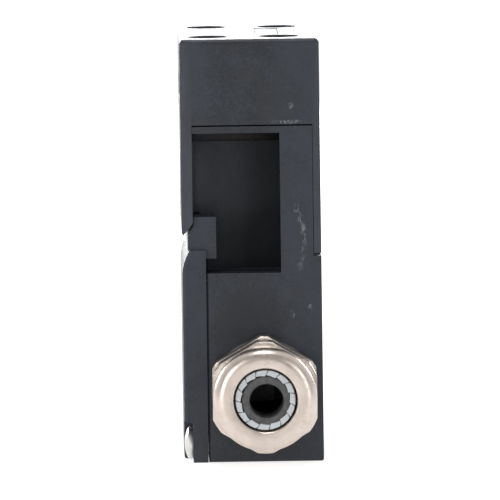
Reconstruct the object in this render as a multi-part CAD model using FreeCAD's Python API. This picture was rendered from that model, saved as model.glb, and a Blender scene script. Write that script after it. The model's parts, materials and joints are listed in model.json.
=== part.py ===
import FreeCAD, Part
import math
import os

Vector = FreeCAD.Vector

# Tongue interlock switch in millimetres: X across its width, -Y its cover, +Y its mounting face,
# +Z up. The origin is the middle of the housing's base.

# ---------------------------------------------------------------- envelope
WIDTH = 52.0                # across the two side faces
DEPTH = 29.6                # cover face to mounting face
EDGE_ROUND = 0.6            # moulded edges of the base and the cover

# ---------------------------------------------------------------- clearances
FIT_GAP = 0.1               # between parts that are fixed to each other
COVER_GAP = 0.15            # between the cover and the housing
SEAM_GAP = 0.3              # open joint line under the head
RUN_GAP = 0.05              # radial play of a journal
SLIDE_GAP = 0.3             # beside a sliding or turning part

# ---------------------------------------------------------------- housing
SIDE_WALL = 3.0             # wall of the terminal compartment, sides and base
BACK_WALL = 2.2
COMPARTMENT_ROOF = 2.5      # plastic between compartment and pocket
POCKET_DEPTH = 10.8         # fixing pocket, from the side face inwards
POCKET_BASE_DROP = 4.9      # below the top of the cover
POCKET_HEIGHT = 29.8        # at the mouth
POCKET_ROOF_FALL = 2.45     # the roof slopes down towards the neck
FIXING_WALL = 8.6           # plastic that the fixing screws press on
SHOULDER = 1.4              # plastic over the pocket's mouth
SPRING_SEAT_RISE = 4.7      # spring seat above the pocket's base
TOWER_HALF_X = 20.4         # part of the housing that the head encloses
KNOCKOUT_RADIUS = 10.0      # thin disc in the base for a third cable entry
KNOCKOUT_GROOVE = 0.8

# ---------------------------------------------------------------- head
HEAD_BLOCK = 18.2           # closed upper part of the head
HEAD_ROOF = 5.5
HEAD_SIDE_WALL = 2.3
FRONT_APRON = 2.4           # wall that hangs down over the front
BACK_APRON = 1.6
FRONT_APRON_LENGTH = 23.4   # below the head's side walls
BACK_APRON_LENGTH = 27.5
APRON_TIP_BEVEL = 2.6
APRON_TIP_SETBACK = 0.4
HEAD_TOP_ROUND = 1.0
HEAD_FRONT_BEVEL = 0.9      # in X, over the thickness of the front apron
HEAD_BACK_BEVEL = 0.5       # in X, over the thickness of the back apron
HEAD_BOLT_X = 16.3
HEAD_BOLT_FRONT_SET_IN = 6.1
HEAD_BOLT_BACK_SET_IN = 8.3
HEAD_BOLT_RADIUS = 2.0
HEAD_BOLT_LENGTH = 14.0
HEAD_BOLT_HEAD_RADIUS = 3.5
HEAD_BOLT_HEAD_HEIGHT = 2.4
HEAD_BOLT_SINK_RADIUS = 4.2
HEAD_BOLT_SINK_DEPTH = 3.0
HEAD_GASKET = 0.6
WINDOW_WIDTH = 6.8          # opening in the front apron for a screwdriver
WINDOW_LENGTH = 15.4
WINDOW_BASE_RISE = 3.7      # above the tip of the apron

# ---------------------------------------------------------------- tongue entries
TONGUE_SLOT_LENGTH = 20.4
TONGUE_SLOT_WIDTH = 5.0
FRONT_SLOT_DROP = 11.3      # slot in the front, below the top of the head
TOP_SLOT_Y = 4.0
SLOT_FLARE = 0.6
TONGUE_OFFSET = 5.2         # tongue's middle plane from the wheel's axis
GUIDE_PLATE = 1.0
GUIDE_PLATE_RIM = 2.4
PLUG_DEPTH = 4.6
PLUG_SET_IN = 0.1

# ---------------------------------------------------------------- cam mechanism
CHAMBER_HALF_X = 11.0
CHAMBER_FRONT_WALL = 2.0
CHAMBER_BACK_WALL = 2.1
CHAMBER_FLOOR_DROP = 7.5    # below the wheel's axis
WHEEL_RADIUS = 7.0
WHEEL_WIDTH = 9.5
WHEEL_NOTCH_WIDTH = 4.2
WHEEL_NOTCH_DEPTH = 3.0
WHEEL_GROOVE = 0.8
CAM_TURN = 60.0             # degrees
PLUNGER_TRAVEL = 3.0
CAM_REACH = 8.2             # axis to the plunger's face with the tongue out
CAM_DISC_WIDTH = 2.6
CAM_DISC_SPACE = 0.25
CAM_HUB_RADIUS = 3.6
CAM_FACE_GAP = 0.08
AXLE_SQUARE = 4.0
AXLE_RADIUS = 2.0
BEARING_HALF = 3.9
BEARING_LENGTH = 5.7

# ---------------------------------------------------------------- plunger
PLUNGER_Y = -4.2
YOKE_HALF_X = 9.2
YOKE_HALF_Y = 3.8
YOKE_BAR = 4.0
STEM_RADIUS = 2.5
SPRING_RADIUS = 4.4         # middle of the wire
SPRING_WIRE = 1.0
SPRING_TURNS = 4.0
SEAL_RADIUS = 5.2
SEAL_HEIGHT = 1.2

# ---------------------------------------------------------------- contact block
BLOCK_HALF_X = 15.4
BLOCK_SET_IN = 1.2          # behind the housing's rim
BLOCK_BACK_Y = 4.5
BLOCK_HEIGHT = 25.4
BLOCK_TOP_GAP = 0.4
BLOCK_BEAM_X = 10.5         # ribs behind the block
BLOCK_BEAM = 3.0
CHANNEL_HALF_X = 8.8
CHANNEL_BACK_Y = -0.3
CARRIER_HALF_X = 5.5
CARRIER_HALF_Y = 3.3
CARRIER_END = 2.1           # plastic beyond the outer windows
BRIDGE_PITCH = 6.5
BRIDGE_HALF_X = 8.0
BRIDGE_WIDTH = 3.0
BRIDGE_THICK = 0.8
BRIDGE_WINDOW = 4.2
BRIDGE_SPRING_RADIUS = 1.1
BRIDGE_SPRING_WIRE = 0.4
BRIDGE_SPRING_TURNS = 2.5
TIP_X = 6.9
TIP_RADIUS = 0.9
TIP_HEIGHT = 0.4
STRIP_THICK = 0.8
STRIP_INNER_X = 6.0
TERMINAL_X = 11.6
TERMINAL_PITCH = 8.5
TERMINAL_HEAD_RADIUS = 2.9
TERMINAL_HEAD_HEIGHT = 2.0
TERMINAL_SCREW_RADIUS = 1.6
TERMINAL_SCREW_LENGTH = 6.5
CLAMP_SIZE = 5.6
CLAMP_THICK = 0.8
BAY_HALF_Z = 3.5

# ---------------------------------------------------------------- cover
COVER_HEIGHT = 45.2
COVER_DEPTH = 5.2           # cover's face to the plane where it meets the housing
COVER_FRONT_WALL = 2.4
COVER_SIDE_WALL = 2.0
COVER_BROW_HEIGHT = 5.6     # rolled upper edge of the cover's face
COVER_BROW_DEPTH = 1.5
RAIL_SET_IN = 1.3           # hook rail behind the cover's face
RAIL_THICK = 2.45
RAIL_RISE = 7.0
RAIL_FACE = 3.0             # upright part of the rail's face
RAIL_SLOPE = 2.2
LUG_INNER_X = 18.2
LUG_OUTER_X = 24.6
LUG_BACK_Y = -7.5
LUG_DROP = 1.8              # below the top of the cover
GASKET_WIDTH = 0.9
GASKET_HEIGHT = 1.2
COVER_BOLT_X = 21.5
COVER_BOLT_Z = 3.8
COVER_BOLT_RADIUS = 2.0
COVER_BOLT_HEAD_RADIUS = 3.4
COVER_BOLT_HEAD_HEIGHT = 1.9
COVER_BOLT_LENGTH = 7.4
COVER_SINK_HEIGHT = 8.4
COVER_SINK_SLOPE = 0.5
COVER_SINK_INNER_X = 17.2
INSERT_RADIUS = 2.9
INSERT_LENGTH = 4.8
POST_HALF = 4.3
DRIVE_SLOT = 0.9            # screwdriver slot
DRIVE_DEPTH = 1.0
SCREW_CROWN = 0.45          # domed share of a screw head's height

# ---------------------------------------------------------------- cable entries
ENTRY_Y = 2.25
ENTRY_Z = 15.0
THREAD_RADIUS = 10.0        # M20
ENTRY_BOSS = 1.9            # ring of plastic round the thread
ENTRY_BOSS_LENGTH = 2.5
HEX_FLATS = 22.0
HEX_TURNED_RADIUS = 12.25   # corners of the gland's hexagon, turned down
NUT_TURNED_RADIUS = 11.85
HEX_CHAMFER = 0.1           # how far the end chamfers cut into the flats
WASHER_THICK = 1.0
WASHER_RADIUS = 11.2
ENTRY_THREAD_LENGTH = 10.0
GLAND_HEX_LENGTH = 5.0
GLAND_BORE_RADIUS = 7.0
NUT_GAP = 0.8
NUT_THREAD_RADIUS = 9.1
NUT_THREAD_LENGTH = 6.5
NUT_HEX_LENGTH = 6.6
DOME_LENGTH = 5.6
DOME_RADIUS = 10.95
DOME_FACE_RADIUS = 8.45
DOME_OPENING_RADIUS = 6.75
CAGE_RADIUS = 6.5
CAGE_SET_IN = 0.8
CAGE_SLOTS = 14
CAGE_SLOT_WIDTH = 0.35
CAGE_SLOT_LENGTH = 6.0
CAGE_SLOT_SLANT = 52.0
SEAL_SLEEVE_RADIUS = 5.3
SEAL_SET_IN = 1.2
CABLE_RADIUS = 3.45
PLUG_HEAD_RADIUS = 11.8
PLUG_HEAD_HEIGHT = 2.6
PLUG_BEVEL = 0.6
PLUG_THREAD_LENGTH = 8.0
PLUG_SLOT_REACH = 9.4      # half of the slot's length
PLUG_WALL = 1.8
PLUG_SLOT_WIDTH = 2.2
PLUG_SLOT_DEPTH = 1.4

# ---------------------------------------------------------------- fixing
FIX_X = 20.0
FIX_LOW_RISE = 4.7          # round holes above the pocket's base
FIX_PITCH_Z = 18.0
FIX_RADIUS = 2.65
FIX_SLOT_LENGTH = 7.3

# ---------------------------------------------------------------- places that follow
HALF_X = WIDTH / 2
FRONT_Y = -DEPTH / 2
BACK_Y = DEPTH / 2
PARTING_Y = FRONT_Y + COVER_DEPTH
POCKET_BASE_Z = COVER_HEIGHT - POCKET_BASE_DROP
POCKET_BACK_Y = BACK_Y - FIXING_WALL
HEAD_BOLT_FRONT_Y = FRONT_Y + HEAD_BOLT_FRONT_SET_IN
HEAD_BOLT_BACK_Y = BACK_Y - HEAD_BOLT_BACK_SET_IN
BLOCK_FRONT_Y = PARTING_Y + BLOCK_SET_IN
POCKET_TOP_Z = POCKET_BASE_Z + POCKET_HEIGHT
SHOULDER_Z = POCKET_TOP_Z + SHOULDER
HEAD_BASE_Z = SHOULDER_Z + SEAM_GAP
HEIGHT = HEAD_BASE_Z + HEAD_BLOCK
ROOF_Z = HEIGHT - HEAD_ROOF
TOWER_TOP_Z = ROOF_Z - HEAD_GASKET
APRON_INNER_Y = FRONT_Y + FRONT_APRON
APRON_BACK_INNER_Y = BACK_Y - BACK_APRON
APRON_TIP_Z = HEAD_BASE_Z - FRONT_APRON_LENGTH
APRON_BACK_TIP_Z = HEAD_BASE_Z - BACK_APRON_LENGTH
BODY_FRONT_Y = APRON_INNER_Y + FIT_GAP
BODY_BACK_Y = APRON_BACK_INNER_Y - FIT_GAP
BACK_STEP_Z = APRON_BACK_TIP_Z - SEAM_GAP * 2
NECK_HALF_X = HALF_X - POCKET_DEPTH
COMPARTMENT_TOP_Z = POCKET_BASE_Z - COMPARTMENT_ROOF
COMPARTMENT_BACK_Y = BACK_Y - BACK_WALL
COMPARTMENT_HALF_X = HALF_X - SIDE_WALL
SPRING_SEAT_Z = POCKET_BASE_Z + SPRING_SEAT_RISE

FRONT_SLOT_Z = HEIGHT - FRONT_SLOT_DROP
CAM_Z = FRONT_SLOT_Z - TONGUE_OFFSET
CAM_Y = TOP_SLOT_Y - TONGUE_OFFSET
CHAMBER_FRONT_Y = BODY_FRONT_Y + CHAMBER_FRONT_WALL
CHAMBER_BACK_Y = BODY_BACK_Y - CHAMBER_BACK_WALL
CHAMBER_FLOOR_Z = CAM_Z - CHAMBER_FLOOR_DROP
CAM_LIFT_PER_RADIAN = PLUNGER_TRAVEL / math.radians(CAM_TURN)
CAM_DISC_INNER_X = WHEEL_WIDTH / 2 + CAM_DISC_SPACE
CAM_DISC_OUTER_X = CAM_DISC_INNER_X + CAM_DISC_WIDTH
BEARING_INNER_X = CHAMBER_HALF_X + FIT_GAP
BEARING_OUTER_X = BEARING_INNER_X + BEARING_LENGTH

YOKE_TOP_Z = CAM_Z - CAM_REACH - CAM_FACE_GAP
YOKE_BAR_TOP_Z = CAM_Z - WHEEL_RADIUS - PLUNGER_TRAVEL - SLIDE_GAP
YOKE_BAR_BASE_Z = YOKE_BAR_TOP_Z - YOKE_BAR
CARRIER_TOP_Z = COMPARTMENT_TOP_Z - PLUNGER_TRAVEL - SLIDE_GAP
TOP_ROW_Z = CARRIER_TOP_Z - CARRIER_END - BRIDGE_WINDOW / 2
ROW_Z = [TOP_ROW_Z - BRIDGE_PITCH * row for row in range(3)]
CARRIER_BASE_Z = ROW_Z[-1] - BRIDGE_WINDOW / 2 - CARRIER_END
BLOCK_TOP_Z = COMPARTMENT_TOP_Z - BLOCK_TOP_GAP
BLOCK_BASE_Z = BLOCK_TOP_Z - BLOCK_HEIGHT
TERMINAL_TOP_Z = BLOCK_TOP_Z - BAY_HALF_Z
TERMINAL_Z = [TERMINAL_TOP_Z - TERMINAL_PITCH * row for row in range(3)]
STRIP_FRONT_Y = PLUNGER_Y + BRIDGE_WIDTH / 2 + SLIDE_GAP
STRIP_BACK_Y = STRIP_FRONT_Y + STRIP_THICK
CLAMP_FRONT_Y = STRIP_FRONT_Y - CLAMP_THICK

COVER_BACK_Y = PARTING_Y - COVER_GAP
COVER_INNER_Y = FRONT_Y + COVER_FRONT_WALL
COVER_SINK_Y = FRONT_Y + COVER_BOLT_HEAD_HEIGHT
RAIL_FRONT_Y = FRONT_Y + RAIL_SET_IN
RAIL_BACK_Y = RAIL_FRONT_Y + RAIL_THICK
RAIL_TOP_Z = COVER_HEIGHT + RAIL_RISE
HOOK_Y = APRON_INNER_Y + COVER_GAP

FIX_LOW_Z = POCKET_BASE_Z + FIX_LOW_RISE
FIX_HIGH_Z = FIX_LOW_Z + FIX_PITCH_Z

GLAND_HEX_X = HALF_X + WASHER_THICK
NUT_X = GLAND_HEX_X + GLAND_HEX_LENGTH + NUT_GAP
DOME_X = NUT_X + NUT_HEX_LENGTH
DOME_FACE_X = DOME_X + DOME_LENGTH


# ---------------------------------------------------------------- shapes
def box(x0, x1, y0, y1, z0, z1):
    return Part.makeBox(x1 - x0, y1 - y0, z1 - z0, Vector(x0, y0, z0))


def rod_x(radius, x0, x1, y, z):
    return Part.makeCylinder(radius, x1 - x0, Vector(x0, y, z), Vector(1, 0, 0))


def rod_y(radius, y0, y1, x, z):
    return Part.makeCylinder(radius, y1 - y0, Vector(x, y0, z), Vector(0, 1, 0))


def rod_z(radius, z0, z1, x, y):
    return Part.makeCylinder(radius, z1 - z0, Vector(x, y, z0), Vector(0, 0, 1))


def face_of(points):
    return Part.Face(Part.makePolygon(points + [points[0]]))


def along_x(outline, x0, x1):
    """Solid with a (y, z) outline, from x0 to x1."""
    return face_of([Vector(x0, y, z) for y, z in outline]).extrude(Vector(x1 - x0, 0, 0))


def along_y(outline, y0, y1):
    """Solid with an (x, z) outline, from y0 to y1."""
    return face_of([Vector(x, y0, z) for x, z in outline]).extrude(Vector(0, y1 - y0, 0))


def along_z(outline, z0, z1):
    """Solid with an (x, y) outline, from z0 to z1."""
    return face_of([Vector(x, y, z0) for x, y in outline]).extrude(Vector(0, 0, z1 - z0))


def slot_y(length, radius, y0, y1, x, z, upright=False):
    """Round-ended bar along Y; length is over both ends, across X or upright."""
    reach = length / 2 - radius
    if upright:
        middle = box(x - radius, x + radius, y0, y1, z - reach, z + reach)
        ends = [rod_y(radius, y0, y1, x, z + side * reach) for side in (-1, 1)]
    else:
        middle = box(x - reach, x + reach, y0, y1, z - radius, z + radius)
        ends = [rod_y(radius, y0, y1, x + side * reach, z) for side in (-1, 1)]
    return middle.multiFuse(ends).removeSplitter()


def turned_x(outline, y, z):
    """Solid turned about an axis along X; the outline is a list of (x, radius)."""
    face = face_of([Vector(x, y, z + radius) for x, radius in outline])
    return face.revolve(Vector(0, y, z), Vector(1, 0, 0), 360)


def mirrored(shape):
    return shape.mirror(Vector(0, 0, 0), Vector(1, 0, 0))


def both_sides(shape):
    return [shape, mirrored(shape)]


def edges_where(shape, test):
    return [edge for edge in shape.Edges if test(edge.BoundBox)]


def hexagon_x(flats, x0, x1, y, z, turned_radius, chamfers):
    """Hexagonal bar with a corner up, its corners turned down and its ends chamfered."""
    corner = flats / math.sqrt(3)
    turns = [math.radians(90 + 60 * step) for step in range(6)]
    bar = along_x([(y + corner * math.cos(a), z + corner * math.sin(a)) for a in turns], x0, x1)
    low = flats / 2 - HEX_CHAMFER
    start = low if chamfers[0] else turned_radius
    end = low if chamfers[1] else turned_radius
    run = (turned_radius - low) * math.tan(math.radians(30))
    envelope = turned_x([(x0, 0), (x0, start), (x0 + run, turned_radius),
                         (x1 - run, turned_radius), (x1, end), (x1, 0)], y, z)
    return bar.common(envelope)


def pan_screw(head_radius, head_height, shank_radius, shank_length):
    """Slotted pan-head screw along Z: head above zero, shank below."""
    crown = head_height * SCREW_CROWN
    side = head_height - crown
    sphere = (head_radius ** 2 + crown ** 2) / (2 * crown)
    half_turn = math.asin(head_radius / sphere) / 2
    outline = [Vector(0, 0, -shank_length), Vector(shank_radius, 0, -shank_length),
               Vector(shank_radius, 0, 0), Vector(head_radius, 0, 0), Vector(head_radius, 0, side)]
    bend = Vector(sphere * math.sin(half_turn), 0, head_height - sphere * (1 - math.cos(half_turn)))
    top = Vector(0, 0, head_height)
    edges = Part.makePolygon(outline).Edges
    edges.append(Part.Arc(outline[-1], bend, top).toShape())
    edges.append(Part.makeLine(top, outline[0]))
    screw = Part.Face(Part.Wire(edges)).revolve(Vector(0, 0, 0), Vector(0, 0, 1), 360)
    return screw.cut(drive_slot(head_radius, head_height))


def cheese_screw(head_radius, head_height, shank_radius, shank_length):
    """Slotted screw with a flat cylindrical head, along Z as above."""
    screw = rod_z(head_radius, 0, head_height, 0, 0).fuse(rod_z(shank_radius, -shank_length, 1, 0, 0))
    return screw.cut(drive_slot(head_radius, head_height))


def drive_slot(head_radius, head_height):
    reach = head_radius + 1
    return box(-reach, reach, -DRIVE_SLOT / 2, DRIVE_SLOT / 2, head_height - DRIVE_DEPTH, head_height + 1)


def placed(shape, position, axis=Vector(0, 0, 1)):
    """Copy of a shape made along +Z, with its zero at a position and +Z along an axis."""
    copy = shape.copy()
    copy.Placement = FreeCAD.Placement(position, FreeCAD.Rotation(Vector(0, 0, 1), axis))
    return copy


def coil(radius, wire, base_z, top_z, turns, x, y):
    """Helical spring of square wire, flush with both of its seats."""
    half = wire / 2
    length = top_z - base_z - wire
    helix = Part.makeHelix(length / turns, length, radius)
    section = Part.makePolygon([Vector(radius - half, 0, -half), Vector(radius + half, 0, -half),
                                Vector(radius + half, 0, half), Vector(radius - half, 0, half),
                                Vector(radius - half, 0, -half)])
    spring = Part.Wire(helix.Edges).makePipeShell([section], True, True)
    spring.translate(Vector(x, y, base_z + half))
    return spring


def save(name, *solids):
    os.makedirs("parts", exist_ok=True)
    shape = solids[0] if len(solids) == 1 else Part.makeCompound(list(solids))
    for solid in shape.Solids:
        if not solid.isValid() or solid.Volume <= 0:
            raise ValueError("bad solid in " + name)
    shape.exportStep("parts/" + name + ".step")
    print(name, len(shape.Solids), round(sum(solid.Volume for solid in shape.Solids), 1))


# ---------------------------------------------------------------- housing
def pocket_cut():
    """Fixing pocket on the right: open to the side and to the front, with a sloping roof."""
    outer = HALF_X + 1
    rise = POCKET_ROOF_FALL / POCKET_DEPTH
    outline = [(NECK_HALF_X, POCKET_BASE_Z), (outer, POCKET_BASE_Z), (outer, POCKET_TOP_Z + rise),
               (NECK_HALF_X, POCKET_TOP_Z - POCKET_ROOF_FALL)]
    return along_y(outline, BODY_FRONT_Y - 1, POCKET_BACK_Y)


def fixing_holes(y0, y1):
    """Round hole and slot on the right, for the screws that fix the switch."""
    return [rod_y(FIX_RADIUS, y0, y1, FIX_X, FIX_LOW_Z),
            slot_y(FIX_SLOT_LENGTH, FIX_RADIUS, y0, y1, FIX_X, FIX_HIGH_Z)]


def housing_block():
    rail_room_z = COVER_HEIGHT + COVER_GAP
    neck_front_y = RAIL_BACK_Y + COVER_GAP
    rail_top = RAIL_TOP_Z + SLIDE_GAP
    outline = [(PARTING_Y, 0), (BACK_Y, 0), (BACK_Y, BACK_STEP_Z), (BODY_BACK_Y, BACK_STEP_Z),
               (BODY_BACK_Y, SHOULDER_Z), (BODY_FRONT_Y, SHOULDER_Z), (BODY_FRONT_Y, rail_top),
               (neck_front_y, rail_top), (neck_front_y, rail_room_z), (PARTING_Y, rail_room_z)]
    block = along_x(outline, -HALF_X, HALF_X)
    base = edges_where(block, lambda b: b.ZMax < 1e-6 and b.YMin > PARTING_Y + 1e-6)
    base += edges_where(block, lambda b: b.ZMax < 1e-6 and b.XLength < 1e-6)
    block = block.makeFillet(EDGE_ROUND, base)
    tower = box(-TOWER_HALF_X, TOWER_HALF_X, BODY_FRONT_Y, BODY_BACK_Y, SHOULDER_Z - 1, TOWER_TOP_Z)
    return block.fuse(tower)


def compartment_cut():
    room = box(-COMPARTMENT_HALF_X, COMPARTMENT_HALF_X, PARTING_Y - 1, COMPARTMENT_BACK_Y,
               SIDE_WALL, COMPARTMENT_TOP_Z)
    post_top = COVER_BOLT_Z + POST_HALF
    post_back = PARTING_Y + INSERT_LENGTH + 1
    post = box(COVER_BOLT_X - POST_HALF, HALF_X, PARTING_Y - 1, post_back, 0, post_top)
    boss = rod_x(THREAD_RADIUS + ENTRY_BOSS, COMPARTMENT_HALF_X - ENTRY_BOSS_LENGTH, HALF_X,
                 ENTRY_Y, ENTRY_Z)
    beam = box(BLOCK_BEAM_X - BLOCK_BEAM / 2, BLOCK_BEAM_X + BLOCK_BEAM / 2, BLOCK_BACK_Y, BACK_Y,
               BLOCK_BASE_Z, COMPARTMENT_TOP_Z)
    for kept in (post, boss, beam):
        for side in both_sides(kept):
            room = room.cut(side)
    return room


def mechanism_cut():
    chamber = box(-CHAMBER_HALF_X, CHAMBER_HALF_X, CHAMBER_FRONT_Y, CHAMBER_BACK_Y,
                  CHAMBER_FLOOR_Z, TOWER_TOP_Z + 1)
    well_half_x = YOKE_HALF_X + SLIDE_GAP
    well_half_y = max(YOKE_HALF_Y, SEAL_RADIUS) + SLIDE_GAP
    well = box(-well_half_x, well_half_x, PLUNGER_Y - well_half_y, PLUNGER_Y + well_half_y,
               SPRING_SEAT_Z, CHAMBER_FLOOR_Z + 1)
    stem = rod_z(STEM_RADIUS + RUN_GAP, COMPARTMENT_TOP_Z - 1, SPRING_SEAT_Z + 1, 0, PLUNGER_Y)
    slot = box(-TONGUE_SLOT_LENGTH / 2, TONGUE_SLOT_LENGTH / 2, BODY_FRONT_Y - 1, CHAMBER_FRONT_Y + 1,
               FRONT_SLOT_Z - TONGUE_SLOT_WIDTH / 2, FRONT_SLOT_Z + TONGUE_SLOT_WIDTH / 2)
    plate_half_x = TONGUE_SLOT_LENGTH / 2 + GUIDE_PLATE_RIM + FIT_GAP
    plate_half_z = TONGUE_SLOT_WIDTH / 2 + GUIDE_PLATE_RIM + FIT_GAP
    plate = box(-plate_half_x, plate_half_x, BODY_FRONT_Y - 1, BODY_FRONT_Y + GUIDE_PLATE,
                FRONT_SLOT_Z - plate_half_z, FRONT_SLOT_Z + plate_half_z)
    bearing_half = BEARING_HALF + FIT_GAP
    bearings = box(-BEARING_OUTER_X - FIT_GAP, BEARING_OUTER_X + FIT_GAP, CAM_Y - bearing_half,
                   CAM_Y + bearing_half, CAM_Z - bearing_half, TOWER_TOP_Z + 1)
    return [chamber, well, stem, slot, plate, bearings]


def housing():
    body = housing_block()
    body = body.cut(both_sides(pocket_cut()))
    body = body.cut(compartment_cut())
    body = body.cut(mechanism_cut())
    entry = rod_x(THREAD_RADIUS, HALF_X - ENTRY_THREAD_LENGTH - FIT_GAP, HALF_X + 1, ENTRY_Y, ENTRY_Z)
    insert_y = PARTING_Y + INSERT_LENGTH
    insert = rod_y(INSERT_RADIUS, PARTING_Y - 1, insert_y, COVER_BOLT_X, COVER_BOLT_Z)
    cuts = [entry, insert] + fixing_holes(POCKET_BACK_Y - 1, BACK_Y + 1)
    for y in (HEAD_BOLT_FRONT_Y, HEAD_BOLT_BACK_Y):
        depth = HEIGHT - HEAD_BOLT_SINK_DEPTH - HEAD_BOLT_LENGTH - FIT_GAP
        cuts.append(rod_z(HEAD_BOLT_RADIUS + FIT_GAP / 2, depth, TOWER_TOP_Z + 1, HEAD_BOLT_X, y))
    for cut in cuts:
        body = body.cut(both_sides(cut))
    groove_z = KNOCKOUT_GROOVE
    groove = rod_z(KNOCKOUT_RADIUS, -1, groove_z, 0, ENTRY_Y)
    groove = groove.cut(rod_z(KNOCKOUT_RADIUS - KNOCKOUT_GROOVE, -1, groove_z, 0, ENTRY_Y))
    return body.cut(groove).removeSplitter()


# ---------------------------------------------------------------- head
def head_outline():
    """Plan of the head: a rectangle with shallow bevels down its four upright edges."""
    front = HALF_X - HEAD_FRONT_BEVEL
    back = HALF_X - HEAD_BACK_BEVEL
    right = [(front, FRONT_Y), (HALF_X, APRON_INNER_Y), (HALF_X, APRON_BACK_INNER_Y), (back, BACK_Y)]
    left = [(-x, y) for x, y in reversed(right)]
    return right + left


def head_cap():
    head = along_z(head_outline(), APRON_BACK_TIP_Z, HEIGHT)
    top_edges = edges_where(head, lambda b: b.ZMin > HEIGHT - 1e-6)
    head = head.makeFillet(HEAD_TOP_ROUND, top_edges)
    below = box(-HALF_X - 1, HALF_X + 1, APRON_INNER_Y, APRON_BACK_INNER_Y,
                APRON_BACK_TIP_Z - 1, HEAD_BASE_Z)
    inside = HALF_X - HEAD_SIDE_WALL
    room = box(-inside, inside, APRON_INNER_Y, APRON_BACK_INNER_Y, HEAD_BASE_Z - 1, ROOF_Z)
    tip_y = FRONT_Y + APRON_TIP_SETBACK
    low = APRON_BACK_TIP_Z - 1
    tip = along_x([(FRONT_Y - 1, low), (APRON_INNER_Y + 1, low),
                   (APRON_INNER_Y + 1, APRON_TIP_Z + APRON_TIP_BEVEL),
                   (APRON_INNER_Y, APRON_TIP_Z + APRON_TIP_BEVEL), (tip_y, APRON_TIP_Z),
                   (FRONT_Y, APRON_TIP_Z + APRON_TIP_SETBACK),
                   (FRONT_Y - 1, APRON_TIP_Z + APRON_TIP_SETBACK)], -HALF_X - 1, HALF_X + 1)
    head = head.cut([below, room, tip])
    head = head.cut(tongue_slots())
    window_z = APRON_TIP_Z + WINDOW_BASE_RISE + WINDOW_LENGTH / 2
    window = slot_y(WINDOW_LENGTH, WINDOW_WIDTH / 2, FRONT_Y - 1, APRON_INNER_Y + 1, FIX_X, window_z,
                    upright=True)
    cuts = [window] + fixing_holes(APRON_BACK_INNER_Y - 1, BACK_Y + 1)
    for y in (HEAD_BOLT_FRONT_Y, HEAD_BOLT_BACK_Y):
        sink_z = HEIGHT - HEAD_BOLT_SINK_DEPTH
        cuts.append(rod_z(HEAD_BOLT_SINK_RADIUS, sink_z, HEIGHT + 1, HEAD_BOLT_X, y))
        cuts.append(rod_z(HEAD_BOLT_RADIUS + FIT_GAP, ROOF_Z - 1, HEIGHT, HEAD_BOLT_X, y))
    for cut in cuts:
        head = head.cut(both_sides(cut))
    return head.removeSplitter()


def tongue_slots():
    """Flared slots for the tongue in the front and in the top."""
    half_x = TONGUE_SLOT_LENGTH / 2
    half = TONGUE_SLOT_WIDTH / 2
    front = box(-half_x, half_x, FRONT_Y - 1, APRON_INNER_Y + 1, FRONT_SLOT_Z - half,
                FRONT_SLOT_Z + half)
    flare = Part.makeLoft([slot_wire(SLOT_FLARE, FRONT_Y - SLOT_FLARE),
                           slot_wire(-SLOT_FLARE, FRONT_Y + SLOT_FLARE)], True)
    top = box(-half_x, half_x, TOP_SLOT_Y - half, TOP_SLOT_Y + half, ROOF_Z - 1, HEIGHT + 1)
    return [front.fuse(flare), top]


def slot_wire(grow, y):
    half_x = TONGUE_SLOT_LENGTH / 2 + grow
    half_z = TONGUE_SLOT_WIDTH / 2 + grow
    corners = [(-half_x, -half_z), (half_x, -half_z), (half_x, half_z), (-half_x, half_z),
               (-half_x, -half_z)]
    return Part.makePolygon([Vector(x, y, FRONT_SLOT_Z + z) for x, z in corners])


def head_gasket():
    half_x = TOWER_HALF_X - FIT_GAP
    sheet = box(-half_x, half_x, BODY_FRONT_Y + FIT_GAP, BODY_BACK_Y - FIT_GAP, TOWER_TOP_Z, ROOF_Z)
    sheet = sheet.cut(box(-CHAMBER_HALF_X, CHAMBER_HALF_X, CHAMBER_FRONT_Y, CHAMBER_BACK_Y,
                          TOWER_TOP_Z - 1, ROOF_Z + 1))
    for y in (HEAD_BOLT_FRONT_Y, HEAD_BOLT_BACK_Y):
        hole = rod_z(HEAD_BOLT_RADIUS + FIT_GAP, TOWER_TOP_Z - 1, ROOF_Z + 1, HEAD_BOLT_X, y)
        sheet = sheet.cut(both_sides(hole))
    return sheet


def head_screws():
    screw = pan_screw(HEAD_BOLT_HEAD_RADIUS, HEAD_BOLT_HEAD_HEIGHT, HEAD_BOLT_RADIUS, HEAD_BOLT_LENGTH)
    z = HEIGHT - HEAD_BOLT_SINK_DEPTH
    return [placed(screw, Vector(side * HEAD_BOLT_X, y, z))
            for side in (-1, 1) for y in (HEAD_BOLT_FRONT_Y, HEAD_BOLT_BACK_Y)]


def tongue_guide():
    """Steel plate behind the front slot."""
    half_x = TONGUE_SLOT_LENGTH / 2
    half_z = TONGUE_SLOT_WIDTH / 2
    rim = GUIDE_PLATE_RIM
    plate = box(-half_x - rim, half_x + rim, BODY_FRONT_Y, BODY_FRONT_Y + GUIDE_PLATE,
                FRONT_SLOT_Z - half_z - rim, FRONT_SLOT_Z + half_z + rim)
    return plate.cut(box(-half_x, half_x, BODY_FRONT_Y - 1, BODY_FRONT_Y + GUIDE_PLATE + 1,
                         FRONT_SLOT_Z - half_z, FRONT_SLOT_Z + half_z))


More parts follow.
